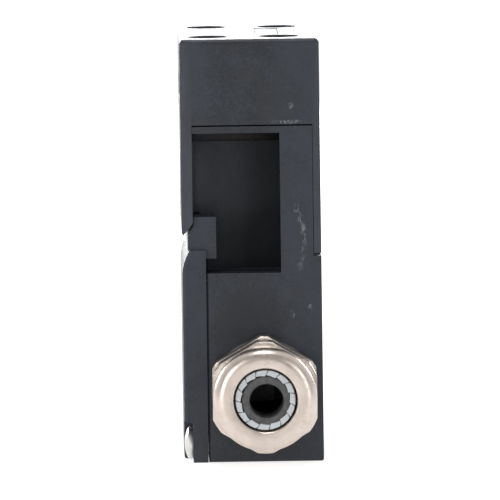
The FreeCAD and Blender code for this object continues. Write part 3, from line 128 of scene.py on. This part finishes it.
# ---------------------------------------------------------------- material helpers
class Graph:
    """Short calls for building a node tree."""

    def __init__(self, tree):
        self.tree = tree
        tree.nodes.clear()

    def node(self, kind, **values):
        item = self.tree.nodes.new(kind)
        for key, value in values.items():
            setattr(item, key, value)
        return item

    def link(self, source, target):
        self.tree.links.new(source, target)

    def feed(self, value, socket):
        """Sets a socket to a number or a colour, or links another node's output to it."""
        if isinstance(value, tuple):
            socket.default_value = value + (1.0,)
        elif isinstance(value, (int, float)):
            socket.default_value = value
        else:
            self.link(value, socket)

    def math(self, operation, a, b=None, clamp=False):
        item = self.node("ShaderNodeMath", operation=operation, use_clamp=clamp)
        self.feed(a, item.inputs[0])
        if b is not None:
            self.feed(b, item.inputs[1])
        return item.outputs[0]

    def product(self, *factors):
        result = factors[0]
        for factor in factors[1:]:
            result = self.math("MULTIPLY", result, factor)
        return result

    def mix(self, factor, a, b):
        item = self.node("ShaderNodeMix", data_type="RGBA")
        for index, value in ((0, factor), (6, a), (7, b)):
            self.feed(value, item.inputs[index])
        return item.outputs[2]

    def mix_value(self, factor, a, b):
        item = self.node("ShaderNodeMix", data_type="FLOAT")
        for index, value in ((0, factor), (2, a), (3, b)):
            self.feed(value, item.inputs[index])
        return item.outputs[0]

    def ramp(self, value, low, high, out_low=0.0, out_high=1.0, smooth=True):
        shape = "SMOOTHSTEP" if smooth else "LINEAR"
        item = self.node("ShaderNodeMapRange", interpolation_type=shape)
        self.link(value, item.inputs[0])
        for socket, number in zip(item.inputs[1:5], (low, high, out_low, out_high)):
            socket.default_value = number
        return item.outputs[0]

    def place(self):
        """Position in the piece's own space, which is the CAD frame, in millimetres."""
        coordinates = self.node("ShaderNodeTexCoord")
        scale = self.node("ShaderNodeVectorMath", operation="SCALE")
        scale.inputs[3].default_value = 1 / MM
        self.link(coordinates.outputs["Object"], scale.inputs[0])
        return scale.outputs[0]

    def stretched(self, place, factors, turn=(0.0, 0.0, 0.0)):
        item = self.node("ShaderNodeMapping")
        self.link(place, item.inputs[0])
        item.inputs[2].default_value = turn
        item.inputs[3].default_value = factors
        return item.outputs[0]

    def noise(self, place, scale, detail=3.0, roughness=0.55, distortion=0.0):
        item = self.node("ShaderNodeTexNoise")
        self.link(place, item.inputs["Vector"])
        item.inputs["Scale"].default_value = scale
        item.inputs["Detail"].default_value = detail
        item.inputs["Roughness"].default_value = roughness
        item.inputs["Distortion"].default_value = distortion
        return item.outputs[0]

    def blob(self, place, centre, radii, soft=0.5):
        """1 inside an ellipsoid, fading to 0 at its surface."""
        item = self.node("ShaderNodeVectorMath", operation="SUBTRACT")
        self.link(place, item.inputs[0])
        item.inputs[1].default_value = centre
        scale = self.node("ShaderNodeVectorMath", operation="DIVIDE")
        self.link(item.outputs[0], scale.inputs[0])
        scale.inputs[1].default_value = radii
        length = self.node("ShaderNodeVectorMath", operation="LENGTH")
        self.link(scale.outputs[0], length.inputs[0])
        return self.ramp(length.outputs["Value"], soft, 1.0, 1.0, 0.0)

    def bump(self, height, strength, distance, normal=None):
        item = self.node("ShaderNodeBump")
        item.inputs["Strength"].default_value = strength
        item.inputs["Distance"].default_value = distance
        self.link(height, item.inputs["Height"])
        if normal is not None:
            self.link(normal, item.inputs["Normal"])
        return item.outputs[0]

    def edges(self, radius):
        """1 where a bevelled normal departs from the flat one, so along edges."""
        bevel = self.node("ShaderNodeBevel", samples=4)
        bevel.inputs["Radius"].default_value = radius
        geometry = self.node("ShaderNodeNewGeometry")
        dot = self.node("ShaderNodeVectorMath", operation="DOT_PRODUCT")
        self.link(bevel.outputs[0], dot.inputs[0])
        self.link(geometry.outputs["Normal"], dot.inputs[1])
        return self.ramp(dot.outputs["Value"], 0.995, 0.80, 0.0, 1.0)

    def mirrored(self, rays):
        """1 for rays seen in gloss or through glass."""
        return self.math("ADD", rays.outputs["Is Glossy Ray"], rays.outputs["Is Transmission Ray"],
                         clamp=True)

    def principled(self, **values):
        shader = self.node("ShaderNodeBsdfPrincipled")
        for name, value in values.items():
            self.feed(value, shader.inputs[name.replace("_", " ")])
        output = self.node("ShaderNodeOutputMaterial")
        self.link(shader.outputs[0], output.inputs[0])
        return shader


def scaled(colour, factor):
    return tuple(value * factor for value in colour)


def new_material(name):
    material = bpy.data.materials.new(name)
    material.use_nodes = True
    return material, Graph(material.node_tree)


# ---------------------------------------------------------------- materials
GLOSS = 0.42                # specular level of the black plastic
DUST = (                    # centre and radii in millimetres, strength
    ((20.0, -3.0, 69.0), (7.0, 10.5, 2.1), 0.85),
    ((20.0, 3.0, 67.0), (7.0, 4.0, 3.0), 0.30),
)
SCUFFS_AND_GLINT = (                  # the same
    ((26.0, 9.5, 54.0), (1.5, 0.8, 1.3), 0.80),
    ((26.0, 10.3, 51.8), (1.5, 0.8, 1.8), 0.75),
    ((26.0, 11.0, 49.0), (1.5, 0.7, 2.2), 0.85),
    ((26.0, 11.2, 46.2), (1.5, 0.7, 2.2), 0.80),
    ((26.0, 10.8, 43.8), (1.5, 0.7, 1.8), 0.55),
    ((26.0, 10.2, 41.6), (1.5, 0.9, 1.2), 0.50),
    # painted glint (highlight) at the pocket's right edge
    ((26.0, 5.9, 61.0), (1.5, 0.5, 0.8), 0.90),
    ((26.0, 8.0, 72.4), (1.5, 4.6, 0.6), 0.60),
    ((26.0, 8.7, 75.8), (1.5, 0.7, 1.0), 0.60),
    ((26.0, 8.5, 31.6), (1.5, 0.6, 1.5), 0.70),
    ((26.0, 12.2, 33.0), (1.5, 0.7, 0.7), 0.80),
)


def plastic_material(name, colour, roughness=0.46, dust_and_shade=False):
    """Glass-filled black plastic: fine spark-eroded grain, faint flow marks, sides lighter towards
    the front and back, and a painted highlight along the edges.
    """
    material, g = new_material(name)
    place = g.place()
    cloud = g.noise(place, 0.16, 4.0, 0.6)
    patch = g.noise(place, 0.9, 3.0, 0.6)
    speck = g.noise(place, 2.4, 3.0, 0.75)
    tone = g.math("ADD", g.ramp(cloud, 0.3, 0.7, -0.10, 0.12),
                  g.ramp(patch, 0.3, 0.7, -0.06, 0.06))
    tone = g.math("ADD", tone, g.ramp(speck, 0.35, 0.75, -0.12, 0.20))
    split = g.node("ShaderNodeSeparateXYZ")
    g.link(place, split.inputs[0])
    # Lighter towards the front and back of the sides.
    from_middle = g.math("ABSOLUTE", g.math("ADD", split.outputs[1], 1.5))
    lighter_to_ends = g.ramp(from_middle, 3.0, 11.0, -0.05, 0.20)
    tone = g.math("ADD", tone, lighter_to_ends)
    if dust_and_shade:
        # A broad darker patch on the side.
        darker_side_patch = g.blob(place, (26.0, 0.0, 31.0), (3.0, 11.0, 9.0), 0.3)
        tone = g.math("SUBTRACT", tone, g.math("MULTIPLY", darker_side_patch, 0.22))
    base = g.mix(g.ramp(tone, -0.25, 0.3), scaled(colour, 0.72), scaled(colour, 1.75))
    haze = g.noise(place, 0.11, 3.0, 0.6, 0.8)
    warm = (colour[0] * 1.25, colour[1] * 1.10, colour[2] * 0.80)
    base = g.mix(g.ramp(haze, 0.50, 0.68, 0.0, 0.35), base, warm)
    # Painted highlight: every edge is made paler.
    edge = g.edges(0.35 * MM)
    base = g.mix(g.math("MULTIPLY", edge, 0.35), base, scaled(colour, 3.0))
    gloss = GLOSS
    if dust_and_shade:
        # Painted shade: the pockets and the seam line are mixed towards near black and lose gloss.
        shade = pocket_shade(g, place)
        base = g.mix(g.math("MULTIPLY", shade, 0.85), base, (0.0030, 0.0037, 0.0050))
        gloss = g.ramp(shade, 0.0, 1.0, GLOSS, GLOSS * 0.3, smooth=False)
        base = add_marks(g, place, base)
    grain = g.noise(place, 5.5, 3.0, 0.65)
    fine = g.noise(place, 16.0, 2.0, 0.6)
    rough = g.math("ADD", g.ramp(patch, 0.3, 0.7, roughness - 0.05, roughness + 0.06),
                   g.ramp(fine, 0.3, 0.7, -0.04, 0.04))
    normal = g.bump(grain, 0.22, 0.02 * MM)
    normal = g.bump(fine, 0.18, 0.008 * MM, normal)
    shader = g.principled(Base_Color=base, Roughness=rough, Normal=normal, IOR=1.5)
    g.feed(gloss, shader.inputs["Specular IOR Level"])
    return material


def pocket_shade(g, place):
    """Painted shade in the fixing pockets, darkest at the back and low down, and a dark line along
    the cover's seam.
    """
    split = g.node("ShaderNodeSeparateXYZ")
    g.link(place, split.inputs[0])
    across, along, upward = split.outputs
    across = g.math("ABSOLUTE", across)
    inside = g.product(g.ramp(across, 25.7, 25.2), g.ramp(across, 14.6, 15.0),
                       g.ramp(upward, 40.35, 40.5), g.ramp(upward, 71.2, 70.8),
                       g.ramp(along, 6.9, 6.6), g.ramp(along, -12.3, -11.9))
    # painted shade: darker towards the pocket's back wall and towards its floor
    shade_to_back = g.ramp(along, -7.0, 4.0, 0.30, 0.85)
    low = g.ramp(upward, 58.0, 46.0, 0.0, 0.35)
    painted_pocket_shade = g.math("MULTIPLY", inside, g.math("ADD", shade_to_back, low, clamp=True))
    seam = g.ramp(g.math("ABSOLUTE", g.math("SUBTRACT", along, SEAM_Y)), 0.42, 0.18)
    seam = g.math("MULTIPLY", seam, g.ramp(upward, COVER_TOP_Z, COVER_TOP_Z - 0.4))
    return g.math("MAXIMUM", painted_pocket_shade, seam)


def add_marks(g, place, base):
    """Dust in the pocket's upper corner, pale scuffs on the side, and a painted glint at the
    pocket's right edge.
    """
    torn = g.noise(g.stretched(place, (1.0, 1.0, 0.45)), 1.3, 5.0, 0.75, 0.6)
    for centre, radii, strength in DUST:
        dust = g.product(g.blob(place, centre, radii, 0.2), g.ramp(torn, 0.35, 0.65, 0.35, 1.0))
        base = g.mix(g.math("MULTIPLY", dust, strength), base, (0.075, 0.055, 0.036))
    slanted = g.stretched(place, (1.0, 1.5, 0.75), turn=(0.5, 0.0, 0.0))
    scratch = g.noise(slanted, 1.1, 5.0, 0.75, 0.8)
    sharp = g.ramp(scratch, 0.46, 0.60)
    # Pale scuffs, and one painted glint, mixed into the colour.
    for centre, radii, strength in SCUFFS_AND_GLINT:
        area = g.math("MULTIPLY", g.blob(place, centre, radii, 0.3), sharp)
        base = g.mix(g.math("MULTIPLY", area, strength), base, (0.24, 0.25, 0.26))
    return base


def metal_material(name, colour, roughness, pits=0.0, turned=False, edge_light=0.0):
    """Plated metal with soft polish marks; turned parts get fine rings about the gland's axis."""
    material, g = new_material(name)
    place = g.place()
    cloud = g.noise(place, 0.35, 4.0, 0.6)
    fine = g.noise(place, 6.0, 3.0, 0.6)
    base = g.mix(g.ramp(cloud, 0.3, 0.7), scaled(colour, 0.90), scaled(colour, 1.06))
    rough = g.math("ADD", g.ramp(cloud, 0.3, 0.7, roughness - 0.03, roughness + 0.05),
                   g.ramp(fine, 0.3, 0.7, -0.03, 0.03))
    normal = g.bump(fine, 0.10, 0.010 * MM)
    if turned:
        rings = g.node("ShaderNodeTexNoise", noise_dimensions="1D")
        split = g.node("ShaderNodeSeparateXYZ")
        g.link(place, split.inputs[0])
        across = g.math("SUBTRACT", split.outputs[1], GLAND_Y)
        upward = g.math("SUBTRACT", split.outputs[2], GLAND_Z)
        radius = g.math("SQRT", g.math("ADD", g.math("MULTIPLY", across, across),
                                       g.math("MULTIPLY", upward, upward)))
        g.link(g.math("ADD", radius, split.outputs[0]), rings.inputs["W"])
        rings.inputs["Scale"].default_value = 9.0
        normal = g.bump(rings.outputs[0], 0.07, 0.010 * MM, normal)
    if pits:
        holes = g.node("ShaderNodeTexVoronoi")
        g.link(place, holes.inputs["Vector"])
        holes.inputs["Scale"].default_value = 1.7
        where = g.ramp(g.noise(place, 0.55, 3.0, 0.6), 0.52, 0.62)
        where = g.math("MAXIMUM", where, g.blob(place, PITTED_CORNER, (6.0, 1.4, 1.6), 0.3))
        spot = g.product(g.ramp(holes.outputs["Distance"], 0.12, 0.28, 1.0, 0.0), where, pits)
        base = g.mix(spot, base, scaled(colour, 0.35))
        rough = g.math("ADD", rough, g.math("MULTIPLY", spot, 0.35))
    if edge_light:
        base = g.mix(g.math("MULTIPLY", g.edges(0.25 * MM), edge_light), base, (0.95, 0.93, 0.90))
    g.principled(Base_Color=base, Roughness=rough, Normal=normal, Metallic=1.0)
    return material


def rubber_material(name, colour):
    material, g = new_material(name)
    place = g.place()
    cloud = g.noise(place, 0.9, 4.0, 0.65)
    base = g.mix(g.ramp(cloud, 0.3, 0.7), scaled(colour, 0.75), scaled(colour, 1.35))
    normal = g.bump(g.noise(place, 7.0, 3.0, 0.6), 0.25, 0.02 * MM)
    g.principled(Base_Color=base, Roughness=0.62, Normal=normal, IOR=1.52)
    return material


def pale_plastic_material(name, colour, roughness=0.4):
    """Smooth unfilled moulding, slightly translucent."""
    material, g = new_material(name)
    place = g.place()
    cloud = g.noise(place, 0.7, 3.0, 0.6)
    base = g.mix(g.ramp(cloud, 0.3, 0.7), scaled(colour, 0.93), scaled(colour, 1.04))
    normal = g.bump(g.noise(place, 4.0, 2.0, 0.5), 0.12, 0.015 * MM)
    shader = g.principled(Base_Color=base, Roughness=roughness, Normal=normal, IOR=1.5)
    shader.inputs["Subsurface Weight"].default_value = 0.12
    shader.inputs["Subsurface Radius"].default_value = (0.6 * MM, 0.6 * MM, 0.6 * MM)
    return material


BLACK_PLASTIC = (0.0150, 0.0182, 0.0250)
MATERIALS = {
    "black_thermoplastic": plastic_material("black_thermoplastic_look", BLACK_PLASTIC,
                                            dust_and_shade=True),
    "dark_rubber": rubber_material("dark_rubber_look", (0.080, 0.080, 0.082)),
    "plated_steel": metal_material("plated_steel_look", (0.66, 0.65, 0.63), 0.36),
    "brass": metal_material("brass_look", (0.72, 0.55, 0.26), 0.30),
    "nickel_plated_brass": metal_material("nickel_look", (0.62, 0.54, 0.485), 0.31, pits=0.6,
                                          turned=True, edge_light=0.5),
    "grey_polyamide": pale_plastic_material("grey_polyamide_look", (0.60, 0.63, 0.65)),
    "white_acetal": pale_plastic_material("white_acetal_look", (0.78, 0.77, 0.73)),
    "cam_metal": metal_material("cam_metal_look", (0.46, 0.46, 0.47), 0.38),
    "grey_thermoset": plastic_material("grey_thermoset_look", (0.12, 0.13, 0.14)),
}
SLOTS = {part["node"]: part["material_slot"] for part in frame["record"]["subparts"]}


def dress(obj, material):
    obj.data.materials.clear()
    obj.data.materials.append(material)


# ---------------------------------------------------------------- moulded and turned pieces
def add_piece(name, mesh, node):
    """Adds a mesh to the scene in place of a node."""
    piece = bpy.data.objects.new(name, mesh)
    bpy.context.scene.collection.objects.link(piece)
    dress(piece, MATERIALS[SLOTS[node]])
    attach(piece, "housing")
    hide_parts(node)
    return piece


def round_edges(piece, radius, segments, angle):
    """Rounds the edges whose faces meet at more than the given angle in degrees."""
    bevel = piece.modifiers.new("edge_radius", "BEVEL")
    bevel.width = radius * MM
    bevel.segments = segments
    bevel.limit_method = "ANGLE"
    bevel.angle_limit = math.radians(angle)
    bevel.harden_normals = True


def refined(node, name, radius, segments=3, angle=28.0):
    """A node's form with its flat faces joined and every sharp edge rounded by a small radius."""
    mesh = NODES[node].data.copy()
    mesh.name = name
    bm = bmesh.new()
    bm.from_mesh(mesh)
    bmesh.ops.remove_doubles(bm, verts=bm.verts, dist=MERGE_DISTANCE * MM)
    bmesh.ops.dissolve_limit(bm, angle_limit=FLAT_ANGLE, verts=bm.verts, edges=bm.edges)
    bmesh.ops.recalc_face_normals(bm, faces=bm.faces)
    for face in bm.faces:
        face.smooth = True
    bm.to_mesh(mesh)
    bm.free()
    piece = add_piece(name, mesh, node)
    round_edges(piece, radius, segments, angle)
    flat = piece.modifiers.new("flat_faces", "WEIGHTED_NORMAL")
    flat.mode = "FACE_AREA"
    flat.weight = 100
    return piece


def point(x, radius, angle, centre=(GLAND_Y, GLAND_Z)):
    """A point, in metres, from its radius and angle about the gland's axis in millimetres."""
    return (x * MM, (centre[0] + radius * math.cos(angle)) * MM,
            (centre[1] + radius * math.sin(angle)) * MM)


def turned(bm, profile, offset=(0.0, 0.0), steps=144):
    """Adds a closed ring to bm: a profile of (x, radius) in mm, turned about the gland's axis."""
    centre = (GLAND_Y + offset[0], GLAND_Z + offset[1])
    rings = []
    for step in range(steps):
        angle = math.tau * step / steps
        rings.append([bm.verts.new(point(x, radius, angle, centre)) for x, radius in profile])
    for step, ring in enumerate(rings):
        after = rings[(step + 1) % steps]
        for low in range(len(profile)):
            high = (low + 1) % len(profile)
            bm.faces.new((ring[low], ring[high], after[high], after[low]))


def smooth_mesh(bm, name):
    bmesh.ops.recalc_face_normals(bm, faces=bm.faces)
    for face in bm.faces:
        face.smooth = True
    mesh = bpy.data.meshes.new(name)
    bm.to_mesh(mesh)
    bm.free()
    return mesh


def rounded(corners, radius, steps=5):
    """Closed outline whose corners are rounded by quadratic curves."""
    points = []
    for index, corner in enumerate(corners):
        here = Vector(corner)
        before = Vector(corners[index - 1]) - here
        after = Vector(corners[(index + 1) % len(corners)]) - here
        start = here + before.normalized() * min(radius, before.length * 0.45)
        end = here + after.normalized() * min(radius, after.length * 0.45)
        for step in range(steps + 1):
            t = step / steps
            points.append(tuple(start * (1 - t) ** 2 + here * 2 * t * (1 - t) + end * t ** 2))
    return points


def dome_nut():
    """Cap nut: the node's hexagon, and a finely turned collar with a quarter-round edge."""
    piece = refined("dome_nut", "dome_nut_turned", 0.12)
    bm = bmesh.new()
    bm.from_mesh(piece.data)
    cut_x = GLAND_FACE_X - DOME_TURNED_LENGTH
    everything = list(bm.verts) + list(bm.edges) + list(bm.faces)
    bmesh.ops.bisect_plane(bm, geom=everything, plane_co=(cut_x * MM, 0.0, 0.0),
                           plane_no=(1.0, 0.0, 0.0), clear_outer=True)

    def from_axis(vertex):
        return math.hypot(vertex.co.y / MM - GLAND_Y, vertex.co.z / MM - GLAND_Z)

    cut_edges = [edge for edge in bm.edges if edge.is_boundary]
    inner_radius = min(from_axis(vertex) for edge in cut_edges for vertex in edge.verts)
    old_faces = set(bm.faces)
    start_x = cut_x + DOME_JOINT
    edge_radius = DOME_RADIUS - DOME_FACE_RADIUS
    profile = [(start_x, inner_radius), (start_x, DOME_RADIUS)]
    for step in range(DOME_EDGE_STEPS + 1):
        angle = math.radians(90) * step / DOME_EDGE_STEPS
        profile.append((GLAND_FACE_X + edge_radius * (math.sin(angle) - 1),
                        DOME_FACE_RADIUS + edge_radius * math.cos(angle)))
    profile += [(GLAND_FACE_X, DOME_OPENING_RADIUS + DOME_BORE_BEVEL),
                (GLAND_FACE_X - DOME_BORE_BEVEL, DOME_OPENING_RADIUS),
                (GLAND_FACE_X - CAGE_DEPTH, DOME_OPENING_RADIUS)]
    turned(bm, profile, steps=192)
    closing = [face for face in bm.faces if face not in old_faces
               and all(abs(vertex.co.x - start_x * MM) < 1e-7 for vertex in face.verts)]
    bmesh.ops.delete(bm, geom=closing, context="FACES_ONLY")
    middle = (inner_radius + DOME_RADIUS) / 2
    open_edges = [edge for edge in bm.edges if edge.is_boundary]
    for outside in (True, False):
        loops = [edge for edge in open_edges if (from_axis(edge.verts[0]) > middle) == outside]
        bmesh.ops.bridge_loops(bm, edges=loops)
    bmesh.ops.recalc_face_normals(bm, faces=bm.faces)
    for face in bm.faces:
        face.smooth = True
    bm.to_mesh(piece.data)
    bm.free()
    return piece


def gland_seal():
    """Rubber sleeve whose front edges are rolled over, pressed a little out of centre."""
    bm = bmesh.new()
    front = GLAND_FACE_X - SEAL_DEPTH
    profile = rounded([(GLAND_NUT_X, SEAL_BORE), (front, SEAL_BORE), (front, SEAL_OUTER),
                       (GLAND_NUT_X, SEAL_OUTER)], SEAL_EDGE_RADIUS)
    turned(bm, profile, SEAL_OFFSET)
    return add_piece("gland_seal_sleeve", smooth_mesh(bm, "gland_seal_sleeve"), "gland_seal")


def clamping_cage():
    """Pale sleeve with slanted fingers round the seal; each finger is a little wider at one end."""
    bm = bmesh.new()
    front = GLAND_FACE_X - CAGE_DEPTH
    root = front - CAGE_FINGER_LENGTH
    sleeve_end = root + 0.2     # the fingers start inside the sleeve
    turned(bm, [(GLAND_NUT_X, CAGE_INNER_RADIUS), (sleeve_end, CAGE_INNER_RADIUS),
                (sleeve_end, CAGE_ROOT_RADIUS), (GLAND_NUT_X, CAGE_ROOT_RADIUS)])
    pitch = math.tau / CAGE_FINGERS
    steps = 6
    for finger in range(CAGE_FINGERS):
        start = CAGE_PHASE + finger * pitch
        sections = []
        for x, inner, outer in ((root, CAGE_INNER_RADIUS, CAGE_ROOT_RADIUS),
                                (front, CAGE_TIP_RADIUS, CAGE_FRONT_RADIUS)):
            low_row, high_row = [], []
            for step in range(steps + 1):
                t = step / steps
                gap = CAGE_SLIT / outer
                outer_angle = start + gap / 2 + (pitch - gap) * t
                lean = CAGE_LEAN * (outer - inner) / outer
                inner_angle = outer_angle + lean
                tip = inner if x == root else inner - CAGE_STAGGER * (1 - t)
                low_row.append((x, tip, inner_angle))
                high_row.append((x, outer, outer_angle))
            sections.append(low_row + high_row[::-1])
        loops = [[bm.verts.new(point(*corner)) for corner in section] for section in sections]
        count = len(loops[0])
        for index in range(count):
            after = (index + 1) % count
            bm.faces.new((loops[0][index], loops[0][after], loops[1][after], loops[1][index]))
        bm.faces.new(loops[0])
        bm.faces.new(loops[1])
    mesh = smooth_mesh(bm, "clamping_cage_fingers")
    piece = add_piece("clamping_cage_fingers", mesh, "clamping_cage")
    round_edges(piece, CAGE_EDGE_RADIUS, 3, 40.0)
    return piece


def cover_screws():
    """The cover's two screws, with their slots upright."""
    piece = refined("cover_screws", "cover_screws_turned", 0.10, segments=2)
    low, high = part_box("cover_screws")
    radius = (high.z - low.z) / 2
    quarter = Matrix.Rotation(math.radians(90), 4, "Y")
    for vertex in piece.data.vertices:
        centre = Vector((math.copysign(high.x - radius, vertex.co.x), 0.0, low.z + radius))
        vertex.co = quarter @ (vertex.co - centre) + centre
    return piece


def dress_all():
    for name, node in NODES.items():
        dress(node, MATERIALS[SLOTS[name]])


# ---------------------------------------------------------------- surroundings
def make_floor():
    size = FLOOR_HALF_SIZE
    corners = [(-size, -size, 0), (size, -size, 0), (size, size, 0), (-size, size, 0)]
    mesh = bpy.data.meshes.new("floor")
    mesh.from_pydata(corners, [], [(0, 1, 2, 3)])
    floor = bpy.data.objects.new("floor", mesh)
    bpy.context.scene.collection.objects.link(floor)
    floor.location.z = -0.05 * MM
    material, g = new_material("floor_look")
    diffuse = g.node("ShaderNodeBsdfDiffuse")
    diffuse.inputs["Color"].default_value = (0.60, 0.60, 0.60, 1.0)
    glow = g.node("ShaderNodeEmission")
    rays = g.node("ShaderNodeLightPath")
    mirrored = g.mirrored(rays)
    seen = g.math("ADD", rays.outputs["Is Camera Ray"], mirrored, clamp=True)
    g.link(g.math("MULTIPLY", seen, FLOOR_GLOW), glow.inputs["Strength"])
    both = g.node("ShaderNodeAddShader")
    g.link(diffuse.outputs[0], both.inputs[0])
    g.link(glow.outputs[0], both.inputs[1])
    output = g.node("ShaderNodeOutputMaterial")
    g.link(both.outputs[0], output.inputs[0])
    floor.data.materials.append(material)


def make_world():
    """White behind the object; in reflections the side towards the camera is a dimmer room."""
    world = bpy.data.worlds.new("studio")
    bpy.context.scene.world = world
    world.use_nodes = True
    g = Graph(world.node_tree)
    rays = g.node("ShaderNodeLightPath")
    mirrored = g.mirrored(rays)
    direction = g.node("ShaderNodeTexCoord")
    split = g.node("ShaderNodeSeparateXYZ")
    g.link(direction.outputs["Generated"], split.inputs[0])
    room = g.ramp(split.outputs[0], -0.2, 0.6, 1.0, ROOM_IN_REFLECTIONS)
    ceiling = g.ramp(split.outputs[2], 0.25, 0.8, 1.0, CEILING_IN_REFLECTIONS)
    room = g.math("MULTIPLY", room, ceiling)
    strength = g.mix_value(mirrored, WORLD_LEVEL, room)
    strength = g.mix_value(rays.outputs["Is Camera Ray"], strength, 1.0)
    background = g.node("ShaderNodeBackground")
    background.inputs["Color"].default_value = (1.0, 1.0, 1.0, 1.0)
    g.link(strength, background.inputs["Strength"])
    output = g.node("ShaderNodeOutputWorld")
    g.link(background.outputs[0], output.inputs[0])


def area_lamp(name, place, target, size, power):
    data = bpy.data.lights.new(name, "AREA")
    data.shape = "RECTANGLE"
    data.size, data.size_y = size
    data.energy = power
    lamp = bpy.data.objects.new(name, data)
    bpy.context.scene.collection.objects.link(lamp)
    lamp.location = place
    lamp.rotation_euler = (Vector(target) - Vector(place)).to_track_quat("-Z", "Y").to_euler()


def light_scene():
    middle = (0.0, 0.0, 0.045)
    area_lamp("lamp_over", (0.18, -0.02, 1.05), middle, (0.35, 0.35), 2.7)
    area_lamp("lamp_left", (0.95, -0.70, 0.28), middle, (0.55, 0.8), 4.6)
    area_lamp("lamp_right", (0.95, 0.75, 0.30), middle, (0.45, 0.8), 2.8)
    area_lamp("lamp_behind", (-1.0, -0.10, 0.24), middle, (1.5, 0.26), 14.0)


make_camera()
make_world()
make_floor()
light_scene()
dress_all()
refined("head_cap", "head_cap_moulding", 0.22)
refined("housing", "housing_moulding", 0.16)
cover = refined("terminal_cover", "terminal_cover_moulding", 0.26)
dress(cover, plastic_material("cover_look", BLACK_PLASTIC))
dome_nut()
refined("gland_body", "gland_body_turned", 0.12)
clamping_cage()
gland_seal()
cover_screws()
refined("head_screws", "head_screws_turned", 0.10, segments=2)
refined("blanking_plug", "blanking_plug_moulding", 0.2)
refined("top_slot_plug", "top_slot_plug_moulding", 0.15)

scene = bpy.context.scene
scene.view_settings.view_transform = "Standard"
